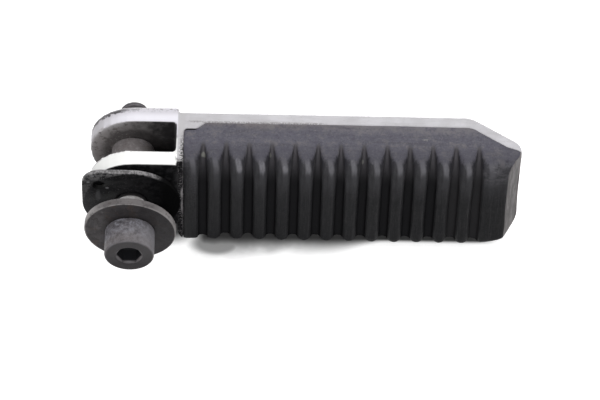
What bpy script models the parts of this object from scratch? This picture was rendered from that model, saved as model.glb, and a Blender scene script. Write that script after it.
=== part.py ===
"""Motorcycle passenger footpeg, in metres, +Z up.

The peg lies as it does when taken off the bike: on the long lower edge of its tread, with the ribbed
tread facing -Y. +X runs from the hinge to the tip, and Y runs along the hinge bolt, whose head is at -Y.
The origin is on the bolt's axis, midway between the two ears of the fork.
"""

import math

import bmesh
import bpy
from mathutils import Matrix

MM = 0.001

# Clearance between pieces that touch or turn on each other
FIT_GAP = 0.3 * MM

# Fork
FORK_GAP = 9.6 * MM
EAR_THICKNESS = 4.7 * MM
EAR_REACH = 11.2 * MM
EAR_HALF_HEIGHT = 12.7 * MM
EAR_CORNER = 12.0 * MM
EAR_STEP_CORNER = 0.3 * MM
SLOT_WALL = 2.0 * MM
SLOT_CORNER = 0.8 * MM

# Casting behind the tread
BODY_THICKNESS = 16.1 * MM
BODY_HEIGHT = 36.8 * MM
SHOULDER_LEFT = 12.0 * MM
SHOULDER_THICKNESS = 1.5 * MM
SHOULDER_CORNER = 6.0 * MM
SHOULDER_FILLET = 2.0 * MM
SPINE_THICKNESS = 3.3 * MM
GUSSET_THICKNESS = 5.55 * MM
GUSSET_LENGTH = 3.2 * MM
GUSSET_RUNOUT = 2.5 * MM
PEG_REACH = 102.1 * MM
TIP_TOP_CORNER = 0.8 * MM
TIP_LOWER_CORNER = 11.0 * MM
TIP_TAPER_LENGTH = 13.0 * MM
TIP_TAPER_ANGLE = math.radians(33.5)
TIP_TAPER_BLEND = 6.0 * MM
TIP_NOSE_RADIUS = 4.0 * MM

# Bar of the casting that stands inside the tread
BAR_HEIGHT = 23.0 * MM
BAR_DEPTH = 5.4 * MM
BAR_TIP_DISTANCE = 16.1 * MM
BAR_CORNER = 3.0 * MM
BAR_ROOT = 1.4 * MM

# Ribbed rubber tread
TREAD_TOP_RADIUS = 4.0 * MM
TREAD_LOWER_RADIUS = 3.5 * MM
TREAD_HINGE_CORNER = 0.5 * MM
TREAD_CHAMFER_BLEND = 0.6 * MM
TREAD_END_CHAMFER = 3.5 * MM
TREAD_END_FACE = 0.25 * MM
RIB_PITCH = 6.02 * MM
FIRST_BLOCK = 5.2 * MM
LEAST_END_BLOCK = 10.0 * MM
GROOVE_DEPTH = 2.7 * MM
GROOVE_FLOOR = 1.4 * MM
GROOVE_FLOOR_BEVEL = 0.3 * MM
GROOVE_DRAFT = math.radians(6)
GROOVE_RUNOUT = 5.0 * MM
GROOVE_RUNOUT_RADIUS = 9.0 * MM
GROOVE_NARROWING = 0.65

# Steel strip and screws that hold the tread
STRIP_LENGTH = 52.0 * MM
STRIP_HEIGHT = 14.0 * MM
STRIP_THICKNESS = 2.0 * MM
STRIP_CORNER = 2.0 * MM
SCREW_END_DISTANCE = 10.0 * MM
SCREW_RADIUS = 2.5 * MM
SCREW_LENGTH = 8.0 * MM
SCREW_HEAD_RADIUS = 4.75 * MM
SCREW_HEAD_HEIGHT = 2.6 * MM
SCREW_HEAD_RIM = 0.5 * MM
SCREW_TIP_CHAMFER = 0.4 * MM
SCREW_HEX_ACROSS = 3.0 * MM
SCREW_HEX_DEPTH = 1.6 * MM
SCREW_SINK = 3.2 * MM

# Hinge bolt, an M8 socket head cap screw, with its washer left loose under the head
BOLT_RADIUS = 4.0 * MM
BOLT_LENGTH = 40.0 * MM
BOLT_TIP_CHAMFER = 0.7 * MM
HEAD_RADIUS = 6.5 * MM
HEAD_HEIGHT = 7.65 * MM
HEAD_EDGE_RADIUS = 0.6 * MM
HEX_ACROSS = 6.0 * MM
HEX_DEPTH = 4.2 * MM
HEX_LEAD_IN = 0.65 * MM
WASHER_STANDOFF = 10.2 * MM

# Pieces threaded on the bolt
WASHER_RADIUS = 12.0 * MM
WASHER_THICKNESS = 2.0 * MM
WASHER_EDGE = 0.25 * MM
BUSH_RADIUS = 5.65 * MM
BUSH_EDGE = 0.35 * MM
STOP_PLATE_RADIUS = 12.8 * MM
STOP_PLATE_CORNER = 5.0 * MM
STOP_PLATE_THICKNESS = 1.3 * MM
STOP_PLATE_STANDOFF = 1.7 * MM
STOP_HOLE_RADIUS = 1.6 * MM
STOP_HOLE_REACH = 11.25 * MM
STOP_HOLE_ANGLE = math.radians(137.5)

# Facets
ARC_STEPS = 8
RIB_EDGE_STEPS = 3
ROUND_STEPS = 48
SMALL_STEPS = 24
HEX_SIDES = 6

# How far a cutter runs past what it cuts, and how far its faces stay clear of parallel ones
OVERRUN = 3.0 * MM
CUTTER_OFFSET = 0.02 * MM

# Points closer than this are one point
WELD = 0.001 * MM

# Sizes that follow from the ones above
EAR_OUTER = FORK_GAP / 2 + EAR_THICKNESS
BODY_TOP = EAR_HALF_HEIGHT
BODY_BOTTOM = BODY_TOP - BODY_HEIGHT
BODY_MIDDLE = (BODY_TOP + BODY_BOTTOM) / 2
BODY_BACK = BODY_THICKNESS / 2
BODY_FRONT = -BODY_THICKNESS / 2
SHOULDER_RIGHT = SHOULDER_LEFT + SHOULDER_THICKNESS
SLOT_FLOOR = SHOULDER_RIGHT - SLOT_WALL
SPINE_FACE = BODY_BACK - SPINE_THICKNESS
GUSSET_FACE = BODY_BACK - GUSSET_THICKNESS
GUSSET_END = SHOULDER_RIGHT + GUSSET_LENGTH
TIP_TAPER_START = PEG_REACH - TIP_TAPER_LENGTH
BAR_END = PEG_REACH - BAR_TIP_DISTANCE
BAR_FACE = SPINE_FACE - BAR_DEPTH
STRIP_BACK = BAR_FACE - FIT_GAP
STRIP_FACE = STRIP_BACK - STRIP_THICKNESS
BOLT_BORE = BOLT_RADIUS + FIT_GAP
WASHER_BACK = -(EAR_OUTER + WASHER_STANDOFF)
WASHER_FACE = WASHER_BACK - WASHER_THICKNESS
HEAD_SEAT = WASHER_FACE - FIT_GAP
STOP_PLATE_BACK = -(EAR_OUTER + STOP_PLATE_STANDOFF)
STRIP_MIDDLE = (SHOULDER_RIGHT + BAR_END) / 2
RIB_EDGE_RADIUS = RIB_PITCH / 4
FIRST_GROOVE = SHOULDER_RIGHT + FIRST_BLOCK
GROOVE_COUNT = int((PEG_REACH - LEAST_END_BLOCK - FIRST_GROOVE) / RIB_PITCH) + 1

# Axes of the drawing planes: a plan is drawn in X and Y, a side view in X and Z, a section in Y and Z
PLAN = Matrix.Identity(4)
SIDE = Matrix.Rotation(math.radians(90), 4, "X")
SECTION = Matrix(((0, 0, 1, 0), (1, 0, 0, 0), (0, 1, 0, 0), (0, 0, 0, 1)))


def clear_scene():
    for obj in list(bpy.data.objects):
        bpy.data.objects.remove(obj, do_unlink=True)


def new_collection(name):
    collection = bpy.data.collections.new(name)
    bpy.context.scene.collection.children.link(collection)
    return collection


def new_material(name, color, roughness, metallic):
    material = bpy.data.materials.new(name)
    material.use_nodes = True
    shader = material.node_tree.nodes["Principled BSDF"]
    shader.inputs["Base Color"].default_value = (*color, 1)
    shader.inputs["Roughness"].default_value = roughness
    shader.inputs["Metallic"].default_value = metallic
    return material


def place(obj, collection):
    for holder in list(obj.users_collection):
        holder.objects.unlink(obj)
    collection.objects.link(obj)
    return obj


def as_cutter(obj):
    place(obj, CUTTERS)
    obj.hide_render = True
    obj.display_type = "WIRE"
    return obj


def boolean(obj, operation, other):
    modifier = obj.modifiers.new(other.name, "BOOLEAN")
    modifier.operation = operation
    modifier.solver = "EXACT"
    modifier.object = other
    return obj


def shade(obj, material, angle=35):
    obj.data.materials.clear()
    obj.data.materials.append(material)
    obj.data.shade_smooth()
    obj.data.set_sharp_from_angle(angle=math.radians(angle))
    return obj


def rounded(corners):
    """Closed outline through corners given as (x, y, radius), with each radius as an arc."""
    points = []
    for index, (x, y, radius) in enumerate(corners):
        if not radius:
            points.append((x, y))
            continue
        before = corners[index - 1]
        after = corners[(index + 1) % len(corners)]
        angle_in = math.atan2(before[1] - y, before[0] - x)
        angle_out = math.atan2(after[1] - y, after[0] - x)
        opening = (angle_out - angle_in + math.pi) % (2 * math.pi) - math.pi
        reach = radius / abs(math.sin(opening / 2))
        middle = angle_in + opening / 2
        centre_x = x + reach * math.cos(middle)
        centre_y = y + reach * math.sin(middle)
        sweep = math.copysign(math.pi - abs(opening), -opening)
        first = middle + math.pi - sweep / 2
        for step in range(ARC_STEPS + 1):
            turn = first + sweep * step / ARC_STEPS
            points.append((centre_x + radius * math.cos(turn), centre_y + radius * math.sin(turn)))
    return [point for index, point in enumerate(points) if math.dist(point, points[index - 1]) > WELD]


def to_mesh(obj):
    """Mesh object in place of a curve object, with its caps welded to its sides."""
    bpy.context.view_layer.update()
    graph = bpy.context.evaluated_depsgraph_get()
    mesh = bpy.data.meshes.new_from_object(obj.evaluated_get(graph))
    work = bmesh.new()
    work.from_mesh(mesh)
    bmesh.ops.remove_doubles(work, verts=work.verts, dist=WELD)
    bmesh.ops.recalc_face_normals(work, faces=work.faces)
    work.to_mesh(mesh)
    work.free()
    name = obj.name
    matrix = obj.matrix_world.copy()
    bpy.data.objects.remove(obj, do_unlink=True)
    solid = bpy.data.objects.new(name, mesh)
    solid.matrix_world = matrix
    PARTS.objects.link(solid)
    return solid


def slab(name, outline, plane, low, high):
    """Solid of a flat outline drawn in one of the three planes, from low to high across it."""
    curve = bpy.data.curves.new(name, "CURVE")
    curve.dimensions = "2D"
    curve.fill_mode = "BOTH"
    curve.extrude = (high - low) / 2
    spline = curve.splines.new("POLY")
    spline.points.add(len(outline) - 1)
    for point, (x, y) in zip(spline.points, outline):
        point.co = (x, y, 0, 1)
    spline.use_cyclic_u = True
    obj = bpy.data.objects.new(name, curve)
    PARTS.objects.link(obj)
    across = -1 if plane is SIDE else 1
    obj.matrix_world = plane @ Matrix.Translation((0, 0, across * (low + high) / 2))
    return to_mesh(obj)


def turned(name, profile, at, steps=ROUND_STEPS, closed=False):
    """Round solid about a line along Y through (x, z). The profile holds (radius, distance towards -Y)."""
    mesh = bpy.data.meshes.new(name)
    ends = list(range(len(profile)))
    edges = list(zip(ends, ends[1:]))
    if closed:
        edges.append((ends[-1], ends[0]))
    mesh.from_pydata([(radius, 0, out) for radius, out in profile], edges, [])
    obj = bpy.data.objects.new(name, mesh)
    PARTS.objects.link(obj)
    obj.matrix_world = Matrix.Translation((at[0], 0, at[1])) @ SIDE
    screw = obj.modifiers.new("turn", "SCREW")
    screw.axis = "Z"
    screw.steps = steps
    screw.render_steps = steps
    screw.use_merge_vertices = True
    screw.merge_threshold = WELD
    return obj


def ring_profile(outer, inner, low, high, edge):
    """Section of a ring, down its outer side from high to low, with both outer edges chamfered."""
    return [
        (inner, high),
        (outer - edge, high),
        (outer, high - edge),
        (outer, low + edge),
        (outer - edge, low),
        (inner, low),
    ]


def drill(name, radius, low, high, at=(0, 0), sides=ROUND_STEPS):
    """Round or many-sided cutter along Y from low to high."""
    work = bmesh.new()
    bmesh.ops.create_cone(
        work, cap_ends=True, segments=sides, radius1=radius, radius2=radius, depth=high - low
    )
    mesh = bpy.data.meshes.new(name)
    work.to_mesh(mesh)
    work.free()
    obj = bpy.data.objects.new(name, mesh)
    PARTS.objects.link(obj)
    half_side = Matrix.Rotation(math.pi / sides, 4, "Z")
    obj.matrix_world = Matrix.Translation((at[0], (low + high) / 2, at[1])) @ SIDE @ half_side
    return as_cutter(obj)


def hex_drill(name, across, low, high, at=(0, 0)):
    """Hexagonal cutter along Y, with two of its flats level."""
    corner = across / 2 / math.cos(math.pi / HEX_SIDES)
    return drill(name, corner, low, high, at, HEX_SIDES)


def screw_places():
    """X of each screw that holds the tread."""
    reach = STRIP_LENGTH / 2 - SCREW_END_DISTANCE
    return [STRIP_MIDDLE - reach, STRIP_MIDDLE + reach]


def taper_line(offset):
    """Start and nose end, in plan, of the tapered tip face, moved in from the back by the offset."""
    slope = math.tan(TIP_TAPER_ANGLE)
    shift = offset * (1 - 1 / math.cos(TIP_TAPER_ANGLE)) / slope
    start = TIP_TAPER_START - shift
    back = BODY_BACK - offset
    return (start, back), (PEG_REACH, back - (PEG_REACH - start) * slope)


def side_outline():
    """Side view of the casting: ears round the hinge, shoulder, and the long tread seat."""
    return rounded([
        (-EAR_REACH, BODY_TOP, EAR_CORNER),
        (PEG_REACH, BODY_TOP, TIP_TOP_CORNER),
        (PEG_REACH, BODY_BOTTOM, TIP_LOWER_CORNER),
        (SHOULDER_LEFT, BODY_BOTTOM, SHOULDER_CORNER),
        (SHOULDER_LEFT, -EAR_HALF_HEIGHT, SHOULDER_FILLET),
        (-EAR_REACH, -EAR_HALF_HEIGHT, EAR_CORNER),
    ])


def body_plan():
    """Plan of the casting: fork, shoulder, gusset, thin spine and tapered tip."""
    past = -EAR_REACH - OVERRUN
    outer_start, outer_end = taper_line(0)
    inner_start, inner_end = taper_line(SPINE_THICKNESS)
    return rounded([
        (past, -EAR_OUTER, 0),
        (SHOULDER_LEFT, -EAR_OUTER, EAR_STEP_CORNER),
        (SHOULDER_LEFT, BODY_FRONT, 0),
        (SHOULDER_RIGHT, BODY_FRONT, 0),
        (SHOULDER_RIGHT, GUSSET_FACE, 0),
        (GUSSET_END, GUSSET_FACE, 0),
        (GUSSET_END + GUSSET_RUNOUT, SPINE_FACE, 0),
        (*inner_start, TIP_TAPER_BLEND),
        (*inner_end, 0),
        (*outer_end, TIP_NOSE_RADIUS),
        (*outer_start, TIP_TAPER_BLEND),
        (SHOULDER_LEFT, BODY_BACK, 0),
        (SHOULDER_LEFT, EAR_OUTER, EAR_STEP_CORNER),
        (past, EAR_OUTER, 0),
        (past, FORK_GAP / 2, 0),
        (SLOT_FLOOR, FORK_GAP / 2, SLOT_CORNER),
        (SLOT_FLOOR, -FORK_GAP / 2, SLOT_CORNER),
        (past, -FORK_GAP / 2, 0),
    ])


def bar_outline(grow):
    """Side view of the bar inside the tread, grown by a clearance."""
    low = BODY_MIDDLE - BAR_HEIGHT / 2 - grow
    high = BODY_MIDDLE + BAR_HEIGHT / 2 + grow
    left = SHOULDER_RIGHT - BAR_ROOT
    right = BAR_END + grow
    radius = BAR_CORNER + grow
    return rounded([(left, high, 0), (right, high, radius), (right, low, radius), (left, low, 0)])


def build_body():
    body = slab("peg_body", body_plan(), PLAN, BODY_BOTTOM - OVERRUN, BODY_TOP + OVERRUN)
    trim = slab("body_side_view", side_outline(), SIDE, -EAR_OUTER - OVERRUN, EAR_OUTER + OVERRUN)
    boolean(body, "INTERSECT", as_cutter(trim))
    bar = slab("body_bar", bar_outline(0), SIDE, BAR_FACE, BODY_BACK - SPINE_THICKNESS / 2)
    boolean(body, "UNION", as_cutter(bar))
    bore = drill("bolt_hole", BOLT_BORE, -EAR_OUTER - OVERRUN, EAR_OUTER + OVERRUN)
    boolean(body, "DIFFERENCE", bore)
    for number, x in enumerate(screw_places(), 1):
        at = (x, BODY_MIDDLE)
        radius = SCREW_RADIUS + FIT_GAP
        hole = drill(f"screw_hole_{number}", radius, BAR_FACE - OVERRUN, BODY_BACK, at, SMALL_STEPS)
        boolean(body, "DIFFERENCE", hole)
        sink_radius = SCREW_HEAD_RADIUS + 2 * FIT_GAP
        sink_floor = BODY_BACK - SCREW_SINK
        sink = drill(f"screw_sink_{number}", sink_radius, sink_floor, BODY_BACK + OVERRUN, at, SMALL_STEPS)
        boolean(body, "DIFFERENCE", sink)
    return shade(body, new_material("cast_aluminium", (0.55, 0.54, 0.56), 0.5, 0.9))


def tread_plan():
    """Plan of the rubber tread, which fills the casting's pocket out to the front face."""
    inner_start, inner_end = taper_line(SPINE_THICKNESS + FIT_GAP)
    left = SHOULDER_RIGHT + FIT_GAP
    gusset = GUSSET_FACE - FIT_GAP
    back = SPINE_FACE - FIT_GAP
    return rounded([
        (left, BODY_FRONT, TREAD_HINGE_CORNER),
        (PEG_REACH - TREAD_END_CHAMFER, BODY_FRONT, TREAD_CHAMFER_BLEND),
        (PEG_REACH, inner_end[1] - TREAD_END_FACE, 0),
        (*inner_end, 0),
        (*inner_start, TIP_TAPER_BLEND),
        (GUSSET_END + GUSSET_RUNOUT, back, 0),
        (GUSSET_END, gusset, 0),
        (left, gusset, 0),
    ])


def tread_side():
    """Side view of the tread: square at the hinge, with the casting's corners at the tip."""
    past = SHOULDER_LEFT - OVERRUN
    return rounded([
        (past, BODY_TOP, 0),
        (PEG_REACH, BODY_TOP, TIP_TOP_CORNER),
        (PEG_REACH, BODY_BOTTOM, TIP_LOWER_CORNER),
        (past, BODY_BOTTOM, 0),
    ])


def tread_section():
    """Section of the tread, with its two front edges rounded."""
    back = BODY_BACK + OVERRUN
    low = BODY_BOTTOM - CUTTER_OFFSET
    high = BODY_TOP + CUTTER_OFFSET
    front = BODY_FRONT + CUTTER_OFFSET
    return rounded([
        (back, low, 0),
        (back, high, 0),
        (front, high, TREAD_TOP_RADIUS),
        (front, low, TREAD_LOWER_RADIUS),
    ])


def groove_cutter(number, x):
    """Groove of the tread: straight up the front face, then narrower on an arc out through the top face."""
    floor = BODY_FRONT + GROOVE_DEPTH
    wall = floor - GROOVE_FLOOR_BEVEL
    reach = GROOVE_DEPTH + TREAD_TOP_RADIUS + OVERRUN
    half_floor = GROOVE_FLOOR / 2
    half_wall = half_floor + GROOVE_FLOOR_BEVEL
    edge_start = BODY_FRONT + RIB_EDGE_RADIUS
    half_edge = half_wall + (wall - edge_start) * math.tan(GROOVE_DRAFT)
    side = [(half_floor, floor), (half_wall, wall), (half_edge, edge_start)]
    for step in range(1, RIB_EDGE_STEPS + 1):
        turn = math.pi / 2 * step / RIB_EDGE_STEPS
        out = half_edge + RIB_EDGE_RADIUS * (1 - math.cos(turn))
        side.append((out, edge_start - RIB_EDGE_RADIUS * math.sin(turn)))
    side.append((half_edge + RIB_EDGE_RADIUS + CUTTER_OFFSET, wall - reach))
    rise = math.sqrt(GROOVE_RUNOUT_RADIUS**2 - (GROOVE_RUNOUT_RADIUS - GROOVE_RUNOUT) ** 2)
    arc_height = BODY_TOP - rise
    start = BODY_BOTTOM - OVERRUN
    work = bmesh.new()
    corners = [(x - half, y, start) for half, y in side]
    corners += [(x + half, y, start) for half, y in reversed(side)]
    face = work.faces.new([work.verts.new(corner) for corner in corners])
    work.normal_update()
    raised = bmesh.ops.extrude_face_region(work, geom=[face], use_keep_orig=True)
    lifted = [item for item in raised["geom"] if isinstance(item, bmesh.types.BMVert)]
    bmesh.ops.translate(work, verts=lifted, vec=(0, 0, arc_height - start))
    top = [item for item in raised["geom"] if isinstance(item, bmesh.types.BMFace)]
    bmesh.ops.spin(
        work,
        geom=top + list({edge for item in top for edge in item.edges}) + lifted,
        cent=(x, floor + GROOVE_RUNOUT_RADIUS, arc_height),
        axis=(1, 0, 0),
        angle=-math.pi / 2,
        steps=ARC_STEPS,
    )
    for vert in work.verts:
        turn = math.atan2(vert.co.z - arc_height, floor + GROOVE_RUNOUT_RADIUS - vert.co.y)
        if turn > 0:
            vert.co.x = x + (vert.co.x - x) * (1 - GROOVE_NARROWING * math.sin(turn))
    bmesh.ops.remove_doubles(work, verts=work.verts, dist=WELD)
    bmesh.ops.recalc_face_normals(work, faces=work.faces)
    mesh = bpy.data.meshes.new(f"groove_{number}")
    work.to_mesh(mesh)
    work.free()
    obj = bpy.data.objects.new(f"groove_{number}", mesh)
    PARTS.objects.link(obj)
    return as_cutter(obj)


def strip_outline(grow):
    """Side view of the steel strip, grown by a clearance."""
    half_length = STRIP_LENGTH / 2 + grow
    half_height = STRIP_HEIGHT / 2 + grow
    left = STRIP_MIDDLE - half_length
    right = STRIP_MIDDLE + half_length
    low = BODY_MIDDLE - half_height
    high = BODY_MIDDLE + half_height
    radius = STRIP_CORNER + grow
    return rounded([(left, high, radius), (right, high, radius), (right, low, radius), (left, low, radius)])


def build_tread():
    tread = slab("rubber_tread", tread_plan(), PLAN, BODY_BOTTOM - OVERRUN, BODY_TOP + OVERRUN)
    side = slab("tread_side_view", tread_side(), SIDE, BODY_FRONT - OVERRUN, BODY_BACK + OVERRUN)
    boolean(tread, "INTERSECT", as_cutter(side))
    left = SHOULDER_LEFT - OVERRUN
    section = slab("tread_section", tread_section(), SECTION, left, PEG_REACH + OVERRUN)
    boolean(tread, "INTERSECT", as_cutter(section))
    bar_seat = BAR_FACE - FIT_GAP
    pocket = slab("bar_pocket", bar_outline(FIT_GAP), SIDE, bar_seat, BODY_BACK)
    boolean(tread, "DIFFERENCE", as_cutter(pocket))
    recess = slab("strip_pocket", strip_outline(FIT_GAP), SIDE, STRIP_FACE - FIT_GAP, BAR_FACE)
    boolean(tread, "DIFFERENCE", as_cutter(recess))
    for number in range(GROOVE_COUNT):
        x = FIRST_GROOVE + number * RIB_PITCH
        boolean(tread, "DIFFERENCE", groove_cutter(number + 1, x))
    return shade(tread, new_material("black_rubber", (0.035, 0.034, 0.036), 0.6, 0))


def build_strip():
    strip = slab("tread_strip", strip_outline(0), SIDE, STRIP_FACE, STRIP_BACK)
    for number, x in enumerate(screw_places(), 1):
        radius = SCREW_RADIUS + FIT_GAP
        low = STRIP_FACE - OVERRUN
        high = STRIP_BACK + OVERRUN
        hole = drill(f"strip_hole_{number}", radius, low, high, (x, BODY_MIDDLE), SMALL_STEPS)
        boolean(strip, "DIFFERENCE", hole)
    return shade(strip, new_material("plated_steel", (0.42, 0.42, 0.42), 0.4, 1))


def build_tread_screw(number, x):
    """Button head screw, put in from the back of the casting."""
    seat = -(BODY_BACK - SCREW_SINK + FIT_GAP)
    rim = seat - SCREW_HEAD_RIM
    end = seat + SCREW_LENGTH
    profile = [
        (0, end),
        (SCREW_RADIUS - SCREW_TIP_CHAMFER, end),
        (SCREW_RADIUS, end - SCREW_TIP_CHAMFER),
        (SCREW_RADIUS, seat),
        (SCREW_HEAD_RADIUS, seat),
        (SCREW_HEAD_RADIUS, rim),
    ]
    rise = SCREW_HEAD_HEIGHT - SCREW_HEAD_RIM
    for step in range(1, ARC_STEPS // 2):
        turn = math.pi / 2 * step / (ARC_STEPS // 2)
        profile.append((SCREW_HEAD_RADIUS * math.cos(turn), rim - rise * math.sin(turn)))
    profile.append((0, rim - rise))
    screw = turned(f"tread_screw_{number}", profile, (x, BODY_MIDDLE), SMALL_STEPS)
    top = -seat + SCREW_HEAD_HEIGHT
    name = f"tread_screw_hex_{number}"
    floor = top - SCREW_HEX_DEPTH
    socket = hex_drill(name, SCREW_HEX_ACROSS, floor, top + OVERRUN, (x, BODY_MIDDLE))
    boolean(screw, "DIFFERENCE", socket)
    return shade(screw, PLATED)


def build_bolt():
    top = -HEAD_SEAT + HEAD_HEIGHT
    profile = [(0, top), (HEAD_RADIUS - HEAD_EDGE_RADIUS, top)]
    for step in range(1, ARC_STEPS // 2 + 1):
        turn = math.pi / 2 * step / (ARC_STEPS // 2)
        out = HEAD_RADIUS - HEAD_EDGE_RADIUS * (1 - math.sin(turn))
        profile.append((out, top - HEAD_EDGE_RADIUS * (1 - math.cos(turn))))
    end = -HEAD_SEAT - BOLT_LENGTH
    profile += [
        (HEAD_RADIUS, -HEAD_SEAT),
        (BOLT_RADIUS, -HEAD_SEAT),
        (BOLT_RADIUS, end + BOLT_TIP_CHAMFER),
        (BOLT_RADIUS - BOLT_TIP_CHAMFER, end),
        (0, end),
    ]
    bolt = turned("hinge_bolt", profile, (0, 0))
    socket = hex_drill("bolt_hex", HEX_ACROSS, -top - OVERRUN, -top + HEX_DEPTH)
    boolean(bolt, "DIFFERENCE", socket)
    mouth = HEX_ACROSS / 2 + HEX_LEAD_IN
    bottom = HEX_ACROSS / 2 - CUTTER_OFFSET
    lead = [
        (0, top + OVERRUN),
        (mouth + OVERRUN, top + OVERRUN),
        (bottom, top - (mouth - bottom)),
        (0, top - (mouth - bottom)),
    ]
    boolean(bolt, "DIFFERENCE", as_cutter(turned("bolt_hex_lead_in", lead, (0, 0))))
    return shade(bolt, new_material("dull_steel", (0.16, 0.15, 0.155), 0.45, 0.8))


def build_ring(name, outer, inner, low, high, edge, material):
    """Ring on the bolt, between two places along Y."""
    ring = turned(name, ring_profile(outer, inner, -high, -low, edge), (0, 0), closed=True)
    return shade(ring, material)


def stop_plate_outline():
    """Side view of the stop plate: round, with one square corner drawn out for its hole."""
    size = STOP_PLATE_RADIUS
    return rounded([
        (size, size, size),
        (size, -size, size),
        (-size, -size, size),
        (-size, size, STOP_PLATE_CORNER),
    ])


def build_stop_plate():
    front = STOP_PLATE_BACK - STOP_PLATE_THICKNESS
    plate = slab("stop_plate", stop_plate_outline(), SIDE, front, STOP_PLATE_BACK)
    low = front - OVERRUN
    high = STOP_PLATE_BACK + OVERRUN
    boolean(plate, "DIFFERENCE", drill("plate_bore", BOLT_BORE, low, high))
    across = STOP_HOLE_REACH * math.cos(STOP_HOLE_ANGLE)
    up = STOP_HOLE_REACH * math.sin(STOP_HOLE_ANGLE)
    hole = drill("plate_hole", STOP_HOLE_RADIUS, low, high, (across, up), SMALL_STEPS)
    boolean(plate, "DIFFERENCE", hole)
    return shade(plate, new_material("black_plate", (0.03, 0.03, 0.03), 0.4, 0.3))


clear_scene()
PARTS = new_collection("passenger_footpeg")
CUTTERS = new_collection("cutters")
PLATED = new_material("plated_screws", (0.42, 0.42, 0.42), 0.4, 1)

build_body()
build_tread()
build_strip()
for index, place_x in enumerate(screw_places(), 1):
    build_tread_screw(index, place_x)
build_bolt()
build_ring("big_washer", WASHER_RADIUS, BOLT_BORE, WASHER_FACE, WASHER_BACK, WASHER_EDGE,
           new_material("dark_washer", (0.09, 0.085, 0.087), 0.5, 0.7))
build_ring("fork_bush", BUSH_RADIUS, BOLT_BORE, FIT_GAP - FORK_GAP / 2, FORK_GAP / 2 - FIT_GAP, BUSH_EDGE,
           new_material("brown_steel", (0.2, 0.17, 0.165), 0.6, 0.6))
build_stop_plate()
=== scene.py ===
"""Motorcycle passenger footpeg as it lies in the photo: dressed pieces, camera, floor and light.

Every length is in metres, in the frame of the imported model: +X from the hinge to the tip, +Y along the
hinge bolt away from its head, +Z up. Places that a material needs are in millimetres.
"""

import math

import bmesh
import bpy
import numpy as np
from mathutils import Matrix, Vector, noise


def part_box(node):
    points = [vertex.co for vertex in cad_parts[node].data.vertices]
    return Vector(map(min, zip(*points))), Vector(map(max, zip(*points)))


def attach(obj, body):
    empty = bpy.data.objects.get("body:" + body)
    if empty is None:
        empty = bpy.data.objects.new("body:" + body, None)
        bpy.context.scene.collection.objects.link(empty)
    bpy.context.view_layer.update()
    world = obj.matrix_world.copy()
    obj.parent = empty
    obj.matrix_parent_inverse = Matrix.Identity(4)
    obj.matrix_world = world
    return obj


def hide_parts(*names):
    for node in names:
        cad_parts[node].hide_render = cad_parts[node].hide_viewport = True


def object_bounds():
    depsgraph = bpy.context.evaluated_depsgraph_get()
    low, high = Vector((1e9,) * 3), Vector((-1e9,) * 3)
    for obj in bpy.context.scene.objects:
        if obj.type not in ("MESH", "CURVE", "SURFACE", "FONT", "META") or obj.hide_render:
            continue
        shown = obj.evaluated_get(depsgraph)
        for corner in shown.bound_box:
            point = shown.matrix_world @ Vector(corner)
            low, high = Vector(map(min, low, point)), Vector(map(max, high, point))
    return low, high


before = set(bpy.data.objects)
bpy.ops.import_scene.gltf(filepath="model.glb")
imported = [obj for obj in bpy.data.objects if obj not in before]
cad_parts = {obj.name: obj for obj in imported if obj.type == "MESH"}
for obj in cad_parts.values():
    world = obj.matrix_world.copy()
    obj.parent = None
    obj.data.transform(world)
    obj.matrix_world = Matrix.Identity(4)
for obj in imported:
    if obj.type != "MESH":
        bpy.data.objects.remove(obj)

CAD_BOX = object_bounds()
MM = 0.001
SEED_SHIFT = Vector((3.1, 7.7, 1.3))

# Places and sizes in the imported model, in millimetres
EAR_INNER = 4.8
SHOULDER_LEFT = 12.0
SHOULDER_RIGHT = 13.5
BODY_TOP = 12.7
BODY_FRONT = -8.05
SPINE_FACE = 4.75
TAPER_ANGLE = math.radians(33.5)
FIRST_GROOVE = 18.7
RIB_PITCH = 6.02
GROOVE_NARROWS = 3.0
GROOVE_ENDS = 12.4
HEAD_FACE = -29.65
HEAD_SEAT = -21.95
HEAD_RADIUS = 6.5
SHANK_RADIUS = 4.0
SHANK_HOLE = 4.3
WASHER_FRONT = -21.7
WASHER_RIM = 11.8
PLATE_FRONT = -12.5
PLATE_RADIUS = 12.8
PLATE_CORNER = 5.0
PLATE_HOLE = (-8.3, 7.6)
PLATE_HOLE_RADIUS = 1.6

# Sockets of the Mix node when it mixes colours
MIX_SHARE, MIX_FIRST, MIX_SECOND, MIX_RESULT = 0, 6, 7, 2


# Meshes

def new_object(name, mesh):
    obj = bpy.data.objects.new(name, mesh)
    bpy.context.scene.collection.objects.link(obj)
    return obj


def shade(obj, material, angle=None):
    """Gives the object one material and smooth shading, with edges kept sharp above the angle in degrees."""
    obj.data.materials.clear()
    obj.data.materials.append(material)
    obj.data.shade_smooth()
    if angle is not None:
        obj.data.set_sharp_from_angle(angle=math.radians(angle))
    return obj


def bake(obj):
    """Applies the object's modifiers to its mesh."""
    bpy.context.view_layer.update()
    graph = bpy.context.evaluated_depsgraph_get()
    mesh = bpy.data.meshes.new_from_object(obj.evaluated_get(graph))
    old = obj.data
    obj.modifiers.clear()
    obj.data = mesh
    bpy.data.meshes.remove(old)
    return obj


def add_relax(obj, rounds):
    relax = obj.modifiers.new("relax", "SMOOTH")
    relax.factor = 0.5
    relax.iterations = rounds
    return relax


def softened(name, node, voxel, rounds):
    """Copy of a CAD node with its edges worn round: remeshed on small voxels, then relaxed."""
    obj = new_object(name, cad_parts[node].data.copy())
    remesh = obj.modifiers.new("remesh", "REMESH")
    remesh.mode = "VOXEL"
    remesh.voxel_size = voxel
    add_relax(obj, rounds)
    return bake(obj)


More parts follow.
